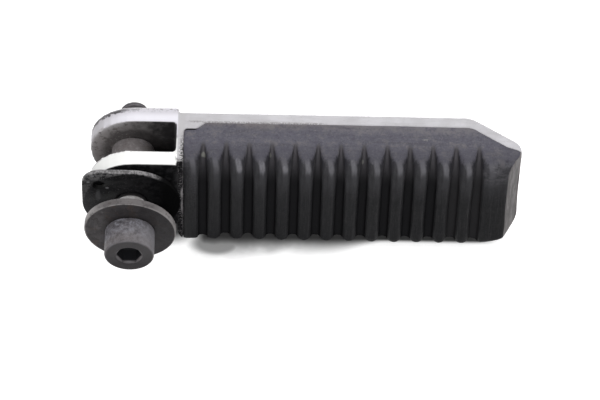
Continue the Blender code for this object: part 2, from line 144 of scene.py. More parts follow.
def relaxed(obj, weights, rounds):
    """Relaxes the mesh further, by one weight for each point."""
    group = obj.vertex_groups.new(name="relax")
    for index in np.flatnonzero(weights > 0.01).tolist():
        group.add([index], float(weights[index]), "REPLACE")
    add_relax(obj, rounds).vertex_group = group.name
    bake(obj)
    obj.vertex_groups.clear()
    return obj


def vectors(items, key):
    values = np.empty(len(items) * 3, np.float32)
    items.foreach_get(key, values)
    return values.reshape(-1, 3)


def points_of(mesh):
    return vectors(mesh.vertices, "co")


def normals_of(mesh):
    return vectors(mesh.vertex_normals, "vector")


def place(obj, points):
    """Puts the object's points at the places given."""
    obj.data.vertices.foreach_set("co", points.astype(np.float32).ravel())
    obj.data.update()
    return obj


def push(obj, amount):
    """Moves each point along its normal."""
    return place(obj, points_of(obj.data) + normals_of(obj.data) * amount[:, None])


def field(points, scale, octaves=3):
    """Smooth noise, from about -1 to 1, at each point; scale is in features per metre."""
    spots = [Vector(point) * scale + SEED_SHIFT for point in points.tolist()]
    values = [noise.fractal(spot, 1.0, 2.0, octaves) for spot in spots]
    return np.array(values, np.float32)


def ramp(values, start, end):
    """0 up to start and 1 from end on, straight between them; end may be the lower one."""
    return np.clip((values - start) / (end - start), 0, 1)


def bell(values, middle, width):
    """1 at the middle, falling to about a third one width to either side."""
    return np.exp(-((values - middle) / width) ** 2)


def rounded(corners, steps=6):
    """Closed outline through corners given as (x, y, radius), with each radius as an arc."""
    points = []
    for index, (x, y, radius) in enumerate(corners):
        before = corners[index - 1]
        after = corners[(index + 1) % len(corners)]
        angle_in = math.atan2(before[1] - y, before[0] - x)
        angle_out = math.atan2(after[1] - y, after[0] - x)
        opening = (angle_out - angle_in + math.pi) % (2 * math.pi) - math.pi
        reach = radius / abs(math.sin(opening / 2))
        middle = angle_in + opening / 2
        centre = (x + reach * math.cos(middle), y + reach * math.sin(middle))
        sweep = math.copysign(math.pi - abs(opening), -opening)
        first = middle + math.pi - sweep / 2
        for step in range(steps + 1):
            turn = first + sweep * step / steps
            points.append((centre[0] + radius * math.cos(turn), centre[1] + radius * math.sin(turn)))
    return points


def circle(centre, radius, count=48):
    turns = [2 * math.pi * step / count for step in range(count)]
    return [(centre[0] + radius * math.cos(turn), centre[1] + radius * math.sin(turn)) for turn in turns]


def turned(name, rings, closed=False, steps=96):
    """Mesh of rings round the bolt's axis, each (radius, y), as numbers or as one value for each step."""
    turns = np.arange(steps) * 2 * np.pi / steps
    work = bmesh.new()
    rows = []
    for radius, along in rings:
        if np.ndim(radius) == 0 and radius == 0:
            rows.append([work.verts.new((0, float(along), 0))])
            continue
        radius = np.broadcast_to(radius, steps)
        along = np.broadcast_to(along, steps)
        rows.append([
            work.verts.new((r * math.sin(t), y, r * math.cos(t))) for r, y, t in zip(radius, along, turns)
        ])
    pairs = list(zip(rows, rows[1:]))
    if closed:
        pairs.append((rows[-1], rows[0]))
    for first, second in pairs:
        for step in range(steps):
            after = (step + 1) % steps
            if len(first) == 1:
                corners = [first[0], second[step], second[after]]
            elif len(second) == 1:
                corners = [first[step], first[after], second[0]]
            else:
                corners = [first[step], first[after], second[after], second[step]]
            work.faces.new(corners)
    return new_object(name, closed_mesh(work, bpy.data.meshes.new(name), 0.0005 * MM))


def closed_mesh(work, mesh, reach):
    """Joins points within reach of each other, turns the faces outward and writes them to the mesh."""
    bmesh.ops.remove_doubles(work, verts=work.verts, dist=reach)
    bmesh.ops.recalc_face_normals(work, faces=work.faces)
    work.to_mesh(mesh)
    work.free()
    return mesh


# Material nodes

class Finish:
    """A material, with short calls for the nodes that feed its shader. Lengths are in millimetres."""

    def __init__(self, name, **plain):
        self.material = bpy.data.materials.new(name)
        self.material.use_nodes = True
        self.tree = self.material.node_tree
        self.shader = self.tree.nodes["Principled BSDF"]
        where = self.tree.nodes.new("ShaderNodeTexCoord")
        self.place = where.outputs["Object"]
        self.x, self.y, self.z = (self.math("DIVIDE", self.axis(self.place, name), MM) for name in "XYZ")
        self.right, self.back, self.up = (self.axis(where.outputs["Normal"], name) for name in "XYZ")
        for key, value in plain.items():
            self.shader.inputs[key.replace("_", " ")].default_value = value

    def link(self, value, socket):
        """Feeds a socket from another one, or sets it to a number or colour."""
        if isinstance(value, bpy.types.NodeSocket):
            self.tree.links.new(value, socket)
        elif isinstance(value, (tuple, list)) and len(value) == 3 and len(socket.default_value) == 4:
            socket.default_value = (*value, 1)
        else:
            socket.default_value = value

    def set(self, key, value):
        self.link(value, self.shader.inputs[key])

    def axis(self, vector, name):
        node = self.tree.nodes.new("ShaderNodeSeparateXYZ")
        self.link(vector, node.inputs[0])
        return node.outputs[name]

    def noise(self, size, detail=3.0, rough=0.55, stretch=(1, 1, 1), shift=(0, 0, 0)):
        """Noise, about 0.2 to 0.8, with features of the size given, drawn out where stretch is below 1."""
        node = self.tree.nodes.new("ShaderNodeMapping")
        self.link(self.place, node.inputs["Vector"])
        node.inputs["Scale"].default_value = stretch
        node.inputs["Location"].default_value = shift
        texture = self.tree.nodes.new("ShaderNodeTexNoise")
        self.link(node.outputs[0], texture.inputs["Vector"])
        texture.inputs["Scale"].default_value = 1 / (size * MM)
        texture.inputs["Detail"].default_value = detail
        texture.inputs["Roughness"].default_value = rough
        return texture.outputs[0]

    def math(self, operation, first, second=0.0):
        node = self.tree.nodes.new("ShaderNodeMath")
        node.operation = operation
        self.link(first, node.inputs[0])
        self.link(second, node.inputs[1])
        return node.outputs[0]

    def plus(self, first, second):
        return self.math("ADD", first, second)

    def minus(self, first, second):
        return self.math("SUBTRACT", first, second)

    def size(self, value):
        """The value without its sign."""
        return self.math("ABSOLUTE", value)

    def chain(self, operation, values):
        result = values[0]
        for value in values[1:]:
            result = self.math(operation, result, value)
        return result

    def times(self, *values):
        return self.chain("MULTIPLY", values)

    def most(self, *values):
        return self.chain("MAXIMUM", values)

    def swing(self, noise, width):
        """Noise moved to lie about 0, and made as wide as given."""
        return self.times(self.minus(noise, 0.5), width)

    def band(self, value, low, high, start=0.0, end=1.0):
        """Runs smoothly from start to end as the value goes from low to high."""
        node = self.tree.nodes.new("ShaderNodeMapRange")
        node.interpolation_type = "SMOOTHSTEP"
        self.link(value, node.inputs["Value"])
        if low > high:
            low, high, start, end = high, low, end, start
        node.inputs["From Min"].default_value = low
        node.inputs["From Max"].default_value = high
        node.inputs["To Min"].default_value = start
        node.inputs["To Max"].default_value = end
        return node.outputs["Result"]

    def between(self, value, low, high, soft):
        """1 where the value lies from low to high, 0 outside, with soft ends."""
        above_low = self.band(value, low - soft, low + soft)
        below_high = self.band(value, high + soft, high - soft)
        return self.times(above_low, below_high)

    def mix(self, share, first, second):
        """The first colour where the share is 0, the second where it is 1."""
        node = self.tree.nodes.new("ShaderNodeMix")
        node.data_type = "RGBA"
        self.link(share, node.inputs[MIX_SHARE])
        self.link(first, node.inputs[MIX_FIRST])
        self.link(second, node.inputs[MIX_SECOND])
        return node.outputs[MIX_RESULT]

    def layers(self, colour, *layers):
        """Lays colours over the first one in turn, each given as (share, colour)."""
        for share, over in layers:
            colour = self.mix(share, colour, over)
        return colour

    def bolt_distance(self):
        """Distance from the bolt's axis."""
        squares = self.plus(self.times(self.x, self.x), self.times(self.z, self.z))
        return self.math("SQRT", squares)

    def vector_math(self, operation, first, second=None):
        """Vector operation on a socket, with the second vector in millimetres."""
        node = self.tree.nodes.new("ShaderNodeVectorMath")
        node.operation = operation
        self.link(first, node.inputs[0])
        if second is not None:
            node.inputs[1].default_value = [value * MM for value in second]
        return node

    def spot(self, centre, size, soft=0.5):
        """1 inside an ellipsoid about the centre and 0 outside, with a soft edge."""
        shift = self.vector_math("SUBTRACT", self.place, centre)
        shrink = self.vector_math("DIVIDE", shift.outputs[0], size)
        length = self.vector_math("LENGTH", shrink.outputs[0])
        return self.band(length.outputs["Value"], 1 + soft, 1 - soft)

    def bump(self, *layers):
        """Adds bump layers, each (height, depth)."""
        previous = None
        for height, depth in layers:
            node = self.tree.nodes.new("ShaderNodeBump")
            node.inputs["Strength"].default_value = 1.0
            node.inputs["Distance"].default_value = depth * MM
            self.link(height, node.inputs["Height"])
            if previous is not None:
                self.link(previous, node.inputs["Normal"])
            previous = node.outputs[0]
        self.link(previous, self.shader.inputs["Normal"])


# Finish of the casting

def worn_paint(f, cloud, speckle):
    """Silver paint with streaks and specks, a little darker towards the hinge."""
    streak = f.noise(1.3, 3, 0.6, (0.12, 1, 1))
    return f.layers(
        f.mix(f.band(cloud, 0.35, 0.65), (0.495, 0.485, 0.505), (0.585, 0.575, 0.60)),
        (f.times(f.band(streak, 0.48, 0.75), 0.4), (0.40, 0.385, 0.395)),
        (f.times(f.band(speckle, 0.62, 0.70), 0.35), (0.22, 0.21, 0.215)),
        (f.band(f.x, 34, 16, 0, 0.4), (0.465, 0.455, 0.47)),
    )


def ear_wear_and_light(f, paint, ears):
    """The far ear's paint, paler inside and darker off its top, and the near ear rubbed to bright metal, with
    a painted highlight making it near-white where it faces up.
    """
    far = f.mix(f.band(f.y, 8.2, 6.2), (0.62, 0.60, 0.645), (0.80, 0.785, 0.84))
    far = f.mix(f.times(f.band(f.up, 0.97, 0.55), 0.75), far, (0.47, 0.455, 0.475))
    # Painted highlight: the near ear is near-white where it faces up, greyer where it turns down.
    near = f.mix(f.band(f.up, -0.1, 0.25), (0.70, 0.68, 0.68), (0.97, 0.97, 0.95))
    return f.layers(
        paint,
        (f.times(ears, f.band(f.y, 0, 1)), far),
        (f.times(ears, f.band(f.y, 0, -1)), near),
    )


def shoulder_wear(f, paint, speckle):
    """Soil in the seam beside the tread, and the shoulder's top worn dark with bright specks."""
    along_seam = f.times(f.between(f.y, SPINE_FACE, SPINE_FACE + 0.5, 0.35), f.between(f.x, 15, 50, 2))
    seam = f.times(along_seam, f.band(speckle, 0.42, 0.52))
    shoulder = f.between(f.x, SHOULDER_LEFT + 0.2, SHOULDER_RIGHT + 0.3, 0.3)
    worn = f.times(shoulder, f.band(f.y, 2.5, -4))
    specks = f.noise(0.7, 3, 0.7, shift=(1, 2, 3))
    return f.layers(
        paint,
        (f.times(seam, 0.7), (0.12, 0.105, 0.10)),
        (f.times(shoulder, 0.45), (0.46, 0.45, 0.455)),
        (f.times(worn, f.band(f.x, 12.2, 13.1), f.band(speckle, 0.43, 0.50)), (0.035, 0.033, 0.034)),
        (f.times(worn, f.band(specks, 0.57, 0.66)), (0.86, 0.85, 0.85)),
    )


def rim_chips(f, paint, ears, flake):
    """Chips along the far ear's rim, and its round end stripped of paint and nearly black."""
    outer = f.band(f.back, 0.95, 0.6)
    rim = f.times(ears, outer, f.band(f.y, 7.4, 9.2), f.band(flake, 0.50, 0.56))
    ragged = f.plus(f.y, f.times(flake, 3))
    curve = f.times(ears, outer, f.band(f.x, 1, -4), f.band(ragged, 9.3, 9.9))
    return f.layers(
        paint,
        (f.times(rim, 0.75), (0.15, 0.145, 0.15)),
        (f.times(curve, 0.92), (0.030, 0.028, 0.031)),
    )


def back_wear(f, paint, ears, flake):
    """Stains, pores, scratches and bright edges on the side that the photo hides, and the bolt's ring."""
    behind = f.band(f.back, 0.02, 0.3)
    on_taper = f.plus(f.times(f.right, math.sin(TAPER_ANGLE)), f.times(f.back, math.cos(TAPER_ANGLE)))
    flat = f.most(f.size(f.right), f.size(f.up), f.back, on_taper)
    stain = f.noise(7, 5, 0.7, shift=(5, 2, 1))
    pores = f.noise(0.8, 3, 0.7, shift=(2, 5, 3))
    scratch = f.noise(0.9, 2, 0.6, (0.16, 1, 1), (4, 2, 6))
    edges = f.times(behind, f.band(flat, 0.98, 0.88), f.band(flake, 0.36, 0.50))
    seat = f.times(f.band(f.back, 0.8, 0.95), f.between(f.bolt_distance(), 4.6, 7.4, 0.25), ears)
    return f.layers(
        paint,
        (f.times(behind, f.band(stain, 0.50, 0.62), 0.35), (0.30, 0.285, 0.285)),
        (f.times(behind, f.band(pores, 0.62, 0.68), 0.5), (0.17, 0.16, 0.16)),
        (f.times(behind, f.band(scratch, 0.66, 0.70), 0.5), (0.78, 0.77, 0.78)),
        (f.times(edges, 0.8), (0.80, 0.79, 0.80)),
        (f.times(seat, f.band(flake, 0.40, 0.55, 0.3, 0.7)), (0.34, 0.32, 0.315)),
    )


def inside_fork(f):
    """1 on the faces between the two ears, clear of the bolt's hole."""
    facing = f.band(f.most(f.size(f.back), f.times(f.right, -1)), 0.55, 0.85)
    return f.times(
        f.between(f.y, -EAR_INNER - 0.6, EAR_INNER + 0.6, 0.1),
        f.band(f.x, SHOULDER_LEFT + 0.5, SHOULDER_LEFT + 0.2),
        facing,
        f.band(f.bolt_distance(), 4, 4.5),
    )


def fork_grime_and_shade(f, speckle):
    """Brown dirt, darker towards the fork's root as dirt and painted shade, a ring of painted shade round the
    bush, and dirt thin along the ears' round ends.
    """
    patch = f.noise(3.2, 4, 0.65, shift=(3, 1, 2))
    mottle = f.noise(1.9, 5, 0.75, shift=(1, 4, 2))
    to_root = f.band(f.plus(f.x, f.swing(patch, 22)), -7, 10)
    near_rim = f.times(f.band(f.bolt_distance(), 9.8, 11.8), f.band(f.x, 1, -4))
    brim = f.times(near_rim, f.band(patch, 0.30, 0.45, 0.3, 0.85))
    round_bush = f.between(f.plus(f.bolt_distance(), f.swing(patch, 5)), 5, 8.8, 0.9)
    return f.layers(
        # Dirt and painted shade: darkest towards the fork's closed root.
        f.mix(to_root, (0.36, 0.338, 0.335), (0.040, 0.038, 0.039)),
        (brim, (0.62, 0.60, 0.61)),
        # Painted shade: a dark ring round the bush.
        (f.times(round_bush, f.band(f.x, -10, -6), 0.7), (0.034, 0.030, 0.030)),
        (f.times(f.band(mottle, 0.47, 0.37), f.band(f.x, 3, -3), 0.65), (0.13, 0.115, 0.11)),
        (f.times(f.band(speckle, 0.56, 0.66), f.band(f.x, 4, -2), 0.35), (0.42, 0.39, 0.385)),
    )


def front_shade_and_soil(f, speckle):
    """Where the casting's front faces are darkened, by dirt and by painted shade, and that dark colour with
    its chips.
    """
    # Painted shade and dirt: faces turned to the front, and the step beside the shoulder, are darkened by
    # which way they face.
    front = f.band(f.back, -0.35, -0.75)
    step = f.times(f.band(f.right, 0.2, 0.5), f.between(f.x, 11.3, 12.6, 0.2), f.band(f.y, -7.7, -8.0))
    mask = f.times(f.most(front, step), f.band(f.y, EAR_INNER - 1, EAR_INNER - 2))
    shade_and_soil = f.mix(f.band(f.noise(1.6, 4, 0.6), 0.4, 0.65), (0.010, 0.010, 0.011), (0.030, 0.029, 0.031))
    chips = f.times(f.band(speckle, 0.55, 0.60), f.between(f.x, SHOULDER_LEFT, SHOULDER_RIGHT, 0.1))
    chips = f.most(
        f.times(chips, 0.42),
        f.times(f.spot((13.35, BODY_FRONT, -1.3), (0.5, 1, 2.2)), 0.9),
        f.times(f.spot((13.3, BODY_FRONT, -7.0), (0.35, 1, 3.0)), 0.7),
    )
    return mask, f.mix(chips, shade_and_soil, (0.42, 0.40, 0.41))


def casting_finish():
    """Silver paint on cast aluminium, rubbed bright on the near ear, chipped and soiled along its edges, with
    painted shade on its front faces, inside the fork and on the shoulder's left face, and a painted highlight
    on the near ear.
    """
    f = Finish("cast_aluminium_worn", Metallic=0.1)
    cloud = f.noise(6, 3, 0.55)
    speckle = f.noise(0.55, 3, 0.7)
    flake = f.noise(1.1, 4, 0.75)
    ears = f.band(f.x, SHOULDER_LEFT + 0.1, SHOULDER_LEFT - 0.3)
    paint = worn_paint(f, cloud, speckle)
    paint = ear_wear_and_light(f, paint, ears)
    paint = shoulder_wear(f, paint, speckle)
    paint = rim_chips(f, paint, ears, flake)
    paint = back_wear(f, paint, ears, flake)

    inside = inside_fork(f)
    root_noise = f.noise(1.5, 4, 0.7, shift=(6, 1, 4))
    root = f.times(f.between(f.x, 11.5, 12.6, 0.45), f.band(f.y, -4.6, -5.2), f.band(root_noise, 0.50, 0.60))
    # Painted shade, with dirt: the shoulder's left face below its top is near-black.
    flank = f.times(f.band(f.right, -0.45, -0.75), f.band(f.x, 11, 11.5), f.band(f.z, 11.5, 10.5))
    front, shade_and_soil = front_shade_and_soil(f, speckle)
    paint = f.layers(
        paint,
        (inside, fork_grime_and_shade(f, speckle)),
        (f.times(root, 0.8), (0.13, 0.12, 0.12)),
        (flank, (0.030, 0.029, 0.030)),
        (front, shade_and_soil),
    )
    f.set("Base Color", paint)
    f.set("Specular IOR Level", f.band(f.most(front, inside, flank), 0.2, 0.8, 0.40, 0.0))
    f.set("Roughness", f.band(cloud, 0.3, 0.7, 0.46, 0.60))
    f.bump((speckle, 0.04), (f.noise(2.4, 4, 0.6), 0.08))
    return f.material


# Finish of the tread

def bare_rubber_and_light(f, cloud, grain, scrape):
    """Rubber with its dust rubbed off, greyer at the hinge end, with fine upright lines, and a painted
    gradient of light, paler towards the hinge and darker towards the tip.
    """
    lines = f.noise(0.42, 3, 0.7, (1, 1, 0.07), (1, 1, 5))
    hinge_end = f.times(f.band(f.x, 19, 16), f.band(f.z, -14, 10))
    return f.layers(
        f.mix(f.band(cloud, 0.35, 0.65), (0.018, 0.018, 0.0195), (0.023, 0.023, 0.025)),
        # Painted light: paler towards the hinge, darker towards the tip.
        (f.band(f.x, 45, 17, 0, 0.6), (0.036, 0.036, 0.038)),
        (f.band(f.x, 48, 84, 0, 0.68), (0.010, 0.010, 0.011)),
        (f.times(f.band(scrape, 0.52, 0.70), 0.4), (0.040, 0.039, 0.042)),
        (f.times(f.band(grain, 0.56, 0.66), 0.3), (0.044, 0.043, 0.046)),
        (f.times(f.band(lines, 0.52, 0.64), 0.35), (0.042, 0.041, 0.044)),
        (f.times(f.band(lines, 0.46, 0.36), 0.4), (0.011, 0.011, 0.012)),
        (f.times(hinge_end, f.band(grain, 0.50, 0.62), 0.8), (0.078, 0.075, 0.080)),
    )


def top_dust_and_highlight(f, cloud, blotch, grain):
    """Grey dust of the tread's top, bluer towards the ribs, in streaks, blotches and grains, and paler along
    the rounded front edge as a painted highlight over the dust.
    """
    streak = f.noise(1.6, 4, 0.65, (0.14, 1, 1))
    rear = f.mix(f.band(f.x, 70, 30), (0.177, 0.169, 0.187), (0.186, 0.169, 0.173))
    from_spine = f.band(f.plus(f.y, f.swing(cloud, 6)), SPINE_FACE, 1.8)
    return f.layers(
        f.mix(from_spine, rear, (0.120, 0.117, 0.142)),
        (f.times(f.band(streak, 0.48, 0.66), 0.4), (0.080, 0.077, 0.088)),
        (f.times(f.band(blotch, 0.50, 0.34), 0.7), (0.092, 0.086, 0.112)),
        (f.times(f.band(blotch, 0.50, 0.64), 0.6), (0.186, 0.174, 0.180)),
        (f.times(f.band(grain, 0.46, 0.34), 0.4), (0.072, 0.067, 0.078)),
        (f.times(f.band(grain, 0.56, 0.68), 0.4), (0.21, 0.20, 0.21)),
        (f.times(f.band(f.y, -0.5, -4.5), 0.4), (0.070, 0.068, 0.080)),
        # Painted highlight over the dust along the rounded front edge.
        (f.band(f.y, -5.5, -7.8), (0.160, 0.157, 0.172)),
    )


def rubber_finish():
    """Moulded rubber, greyed with dust on top, nearly free of dust down its ribs and darker in its grooves,
    with painted highlights on the ribs' tops and right edges and painted shade on their sides.
    """
    f = Finish("black_rubber_dusty", Metallic=0.0)
    cloud = f.noise(9, 4, 0.6, (0.5, 1, 1))
    blotch = f.noise(2.6, 5, 0.78, (0.8, 1, 0.6))
    grain = f.noise(0.5, 3, 0.65)
    scrape = f.noise(1.0, 3, 0.7, (1, 1, 0.12))
    ragged = f.plus(f.z, f.swing(scrape, 4))

    # Place across a rib, in pitches: 0 on its crest and a half in the middle of a groove
    across = f.math("FRACT", f.math("DIVIDE", f.minus(f.x, FIRST_GROOVE), RIB_PITCH))
    off_crest = f.minus(across, 0.5)
    lean = f.band(f.minus(f.times(f.y, -1), f.z), -7, -1, 0, 0.09)
    crest = f.band(f.size(f.minus(off_crest, lean)), 0.17, 0.06)

    # Dust thins out down the ribs, first on their sides, which are darkened partly as painted shade, the
    # paler crest leaning to the right lower down
    level = f.plus(f.band(ragged, 6, 9.8, 0, 0.5), f.band(ragged, -5, 11, 0, 0.5))
    flank = f.mix(crest, f.band(f.z, 3, 8, 0.65, 0.34), (1, 1, 1))
    level = f.times(level, f.most(flank, f.band(ragged, 10.3, 12.4)))

    # Painted highlight, over rubbed dust, at the top of each rib, and a rubbed patch near the tip
    upper = f.times(crest, f.between(ragged, 9.0, 10.2, 1.9), f.between(f.x, 24, 92, 2))
    shine = f.times(upper, f.band(blotch, 0.32, 0.5, 0.6, 1))
    gleam = f.mix(f.band(f.x, 34, 50), (0.50, 0.49, 0.53), (0.355, 0.350, 0.378))
    rubs = f.noise(1.2, 5, 0.8, (0.45, 1, 1), (2, 7, 4))
    patch = f.spot((95.2, -8.0, 8.4), (3.6, 3.6, 3.4), 0.7)

    # Painted highlight as a fine pale streak along each rib's right edge, and the groove beside it
    rib_edge = f.minus(off_crest, f.band(f.z, GROOVE_NARROWS, GROOVE_ENDS, 0.175, 0.36))
    on_edge = f.band(f.size(rib_edge), 0.022, 0.008)
    edge_highlight = f.times(on_edge, f.band(scrape, 0.35, 0.6), f.band(f.z, 12.6, 12.2))
    edge_highlight_colour = f.mix(f.band(f.z, 6, 11), (0.050, 0.050, 0.053), (0.19, 0.19, 0.20))
    half_rib = f.band(f.z, GROOVE_NARROWS, GROOVE_ENDS, 0.25, 0.40)
    groove = f.band(f.minus(f.size(off_crest), half_rib), -0.03, 0.04)
    groove = f.times(groove, f.band(f.y, BODY_FRONT + 0.5, BODY_FRONT + 1.4), f.band(f.z, 12.65, 12.1))
    low_pit = f.mix(f.band(f.x, 80, 84), (0.034, 0.034, 0.0365), (0.062, 0.061, 0.064))
    pit = f.mix(f.band(ragged, 0, GROOVE_ENDS), low_pit, (0.130, 0.124, 0.135))

    end = f.times(f.band(f.right, 0.45, 0.65), f.band(f.x, 97, 98.5))
    end_colour = f.mix(f.band(scrape, 0.38, 0.62), (0.19, 0.178, 0.178), (0.34, 0.322, 0.320))
    specks = f.most(
        f.times(f.spot((18.9, -3.5, 10.0), (0.75, 1.2, 0.6), 0.4), f.band(grain, 0.3, 0.5)),
        f.times(f.spot((60.3, -4.3, 8.9), (0.5, 0.6, 0.8), 0.3), 0.6),
        f.times(f.spot((77.0, 0.4, BODY_TOP), (0.9, 0.3, 0.5), 0.5), f.band(grain, 0.38, 0.6), 0.5),
        f.times(f.spot((36.3, -3.9, 10.6), (0.3, 0.5, 0.9), 0.3), 0.6),
    )
    colour = f.layers(
        f.mix(level, bare_rubber_and_light(f, cloud, grain, scrape), top_dust_and_highlight(f, cloud, blotch, grain)),
        (f.times(shine, f.band(f.x, 40, 62, 1.0, 0.68)), gleam),
        (f.times(f.band(rubs, 0.40, 0.58), patch, 0.75), (0.135, 0.131, 0.143)),
        (f.times(f.band(rubs, 0.60, 0.68), patch, 0.6), (0.24, 0.235, 0.25)),
        (f.times(edge_highlight, 0.5), edge_highlight_colour),
        (groove, pit),
        (f.times(end, 0.9), end_colour),
        (specks, (0.33, 0.33, 0.30)),
    )
    f.set("Base Color", colour)
    f.set("Specular IOR Level", f.band(groove, 0, 1, 0.05, 0.0))
    f.set("Roughness", f.band(cloud, 0.3, 0.7, 0.42, 0.54))
    f.bump((grain, 0.05), (f.noise(1.7, 4, 0.6), 0.12), (scrape, 0.04))
    return f.material


# Finishes of the steel pieces

def steel_finish(name, dark, light, roughness, stains=0.5, metallic=0.1):
    """Worn steel: two greys in clouds, brown stains and a fine grain."""
    f = Finish(name, Metallic=metallic, Specular_IOR_Level=0.25)
    cloud = f.noise(3.8, 4, 0.6)
    grain = f.noise(0.55, 4, 0.65)
    colour = f.mix(f.band(cloud, 0.32, 0.68), dark, light)
    rust = f.band(f.noise(3.0, 5, 0.7, shift=(0.4, 0.1, 0.7)), 0.50, 0.64)
    colour = f.mix(f.times(rust, stains), colour, (0.10, 0.07, 0.055))
    f.set("Roughness", f.band(grain, 0.3, 0.7, roughness - 0.08, roughness + 0.1))
    f.bump((grain, 0.03), (f.noise(1.4, 4, 0.6), 0.06))
    return f, colour


def bolt_finish():
    """Dull steel, mottled down the head, with a chipped lip round a dark socket, a bright worn shank under a
    painted highlight, painted shade with dirt where the shank meets the plate, and painted light paling the
    head's right side.
    """
    f, colour = steel_finish("dull_steel_worn", (0.120, 0.112, 0.117), (0.175, 0.168, 0.178), 0.5)
    reach = f.bolt_distance()
    fleck = f.noise(1.3, 4, 0.7)
    fine = f.noise(0.6, 3, 0.7)
    side = f.times(f.band(reach, 5.9, 6.3), f.between(f.y, HEAD_FACE + 0.2, WASHER_FRONT, 0.2))
    seated = f.band(f.y, -25.5, -22.5)
    face = f.times(f.band(f.y, HEAD_FACE + 0.35, HEAD_FACE + 0.1), f.band(reach, 6.4, 5.9))
    face_colour = f.mix(f.band(f.z, 2, -5), (0.084, 0.079, 0.082), (0.040, 0.038, 0.040))
    lip = f.times(
        f.between(f.y, HEAD_FACE + 0.12, HEAD_FACE + 0.7, 0.05),
        f.band(reach, 3.9, 3.75),
        f.band(f.z, 0.5, -1.5),
        f.band(fleck, 0.42, 0.56),
    )
    socket = f.times(f.band(reach, 3.75, 3.5), f.between(f.y, HEAD_FACE + 0.8, HEAD_FACE + 7, 0.2))
    on_shank = f.band(reach, SHANK_HOLE, SHANK_HOLE - 0.2)
    # Painted highlight on the worn shank's lit top, and painted shade with dirt where it meets the plate
    highlight_from, plate_from, plate_to = -19, -13.1, -9
    bare_and_highlight = f.times(f.between(f.y, highlight_from, plate_from, 0.1), on_shank)
    bare_and_highlight_colour = f.mix(f.band(fleck, 0.42, 0.56), (0.74, 0.71, 0.70), (0.96, 0.94, 0.93))
    shade_and_dirt_at_plate = f.times(f.between(f.y, plate_from, plate_to, 0.1), on_shank)
    colour = f.layers(
        colour,
        (f.times(side, 0.6), (0.155, 0.150, 0.170)),
        (f.times(side, f.band(fleck, 0.52, 0.60), f.band(seated, 0, 1, 0.35, 0.85)), (0.30, 0.30, 0.34)),
        (f.times(side, f.band(fleck, 0.48, 0.40), 0.75), (0.070, 0.065, 0.074)),
        (f.times(side, f.band(fine, 0.56, 0.66), 0.35), (0.33, 0.325, 0.345)),
        (f.times(side, f.band(fine, 0.44, 0.34), 0.4), (0.07, 0.065, 0.07)),
        (f.times(side, f.band(f.y, -25.5, -28), 0.45), (0.125, 0.108, 0.103)),
        # Painted light: the head's right side paler
        (f.times(side, f.band(f.x, 1, 5.5), 0.55), (0.27, 0.262, 0.280)),
        (f.times(face, 0.88), face_colour),
        (f.times(lip, 0.6), (0.15, 0.14, 0.145)),
        (socket, (0.026, 0.026, 0.029)),
        (bare_and_highlight, bare_and_highlight_colour),
        (f.times(shade_and_dirt_at_plate, 0.8), (0.03, 0.03, 0.031)),
    )
    f.set("Base Color", colour)
    f.set("Specular IOR Level", f.band(f.most(face, socket), 0, 1, 0.25, 0.06))
    return f.material


def washer_finish():
    """Dark stained steel with a rubbed rim, and painted shade that makes it darkest beside the bolt's head
    and on its right.
    """
    f, colour = steel_finish("dark_steel_stained", (0.050, 0.046, 0.048), (0.088, 0.082, 0.085), 0.5)
    reach = f.bolt_distance()
    worn = f.noise(1.6, 5, 0.75, shift=(2, 3, 1))
    scratch = f.band(f.noise(0.7, 3, 0.7, (1, 1, 0.1)), 0.62, 0.70)
    rim = f.times(f.band(reach, 11.5, WASHER_RIM), f.band(worn, 0.40, 0.52, 0.45, 1.0))
    rim_colour = f.mix(f.band(f.up, 0.9, 0.5), (0.125, 0.116, 0.116), (0.30, 0.284, 0.282))
    # Painted shade on the washer's face: darker to its right and beside the head
    shaded = f.times(f.band(f.x, -4, 9), f.band(reach, WASHER_RIM, 11.5))
    shade_beside_head = f.times(f.band(reach, 8.6, 6.6), f.band(f.z, -3, 4))
    colour = f.layers(
        colour,
        (f.times(f.band(worn, 0.47, 0.38), 0.6), (0.034, 0.029, 0.028)),
        (f.times(f.band(worn, 0.56, 0.66), 0.45), (0.15, 0.138, 0.138)),
        (rim, rim_colour),
        (f.times(scratch, 0.3), (0.16, 0.15, 0.155)),
        (f.times(shaded, 0.8), (0.024, 0.022, 0.024)),
        (f.times(shade_beside_head, 0.4), (0.036, 0.034, 0.035)),
    )
    f.set("Base Color", colour)
    f.set("Specular IOR Level", f.band(reach, WASHER_RIM, 11.5, 0.25, 0.10))
    return f.material


def bush_finish():
    """Brown, dusty steel."""
    f, colour = steel_finish("brown_steel_dull", (0.19, 0.172, 0.172), (0.25, 0.232, 0.234), 0.6, stains=0.25)
    fleck = f.noise(0.8, 4, 0.75)
    colour = f.layers(
        colour,
        (f.times(f.band(fleck, 0.52, 0.64), 0.35), (0.36, 0.34, 0.34)),
        (f.times(f.band(fleck, 0.46, 0.36), 0.4), (0.11, 0.10, 0.10)),
    )
    f.set("Base Color", colour)
    return f.material


def plated_finish():
    """Zinc plating gone dull."""
    dark, light = (0.36, 0.36, 0.36), (0.48, 0.48, 0.47)
    f, colour = steel_finish("plated_steel_dull", dark, light, 0.38, stains=0.25, metallic=0.9)
    f.set("Base Color", colour)
    return f.material


